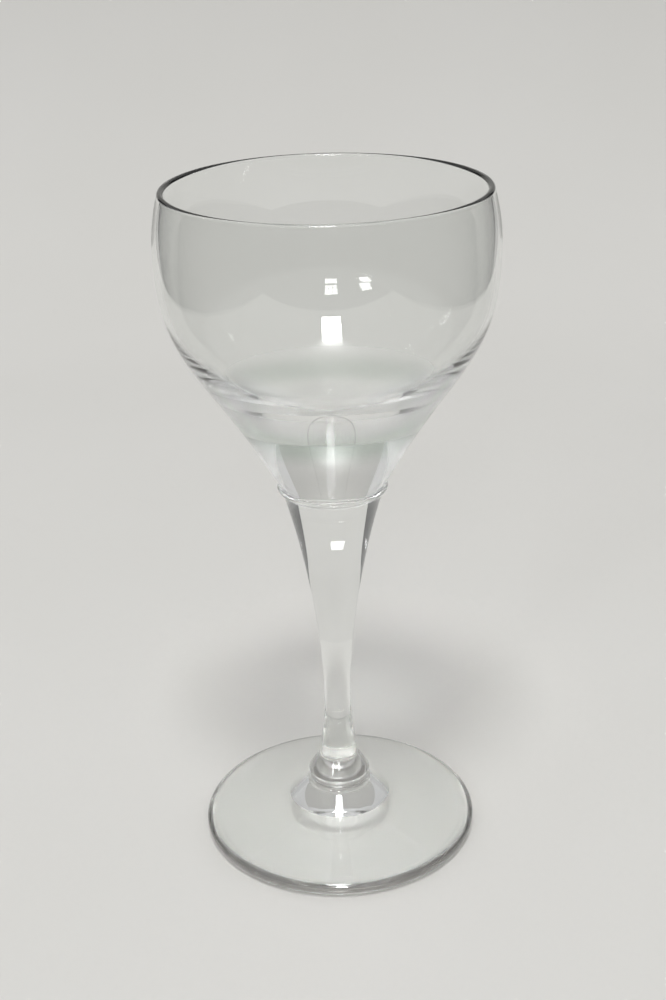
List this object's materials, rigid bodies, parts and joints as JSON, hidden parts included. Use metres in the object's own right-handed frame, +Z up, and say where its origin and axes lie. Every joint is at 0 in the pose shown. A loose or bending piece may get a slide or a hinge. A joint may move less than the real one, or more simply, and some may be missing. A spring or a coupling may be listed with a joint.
{
  "type": "stemmed schnapps glass",
  "caption": "Clear stemmed schnapps glass: thin rounded bowl on a thick solid cone, solid trumpet stem, small collar and a round domed foot.",
  "frame": {"origin": "centre of the ring that the foot stands on", "axes": "+Z up along the glass's axis of revolution, from the foot to the rim"},
  "size_m": [0.054, 0.054, 0.115],
  "materials": {
    "bowl_glass": "clear blown soda glass, fire polished",
    "stem_glass": "clear drawn soda glass, fire polished",
    "foot_glass": "clear spun soda glass, fire polished"
  },
  "bodies": {
    "root": {"foot": "foot_glass", "collar": "stem_glass", "stem": "stem_glass", "bowl": "bowl_glass"}
  },
  "joints": []
}
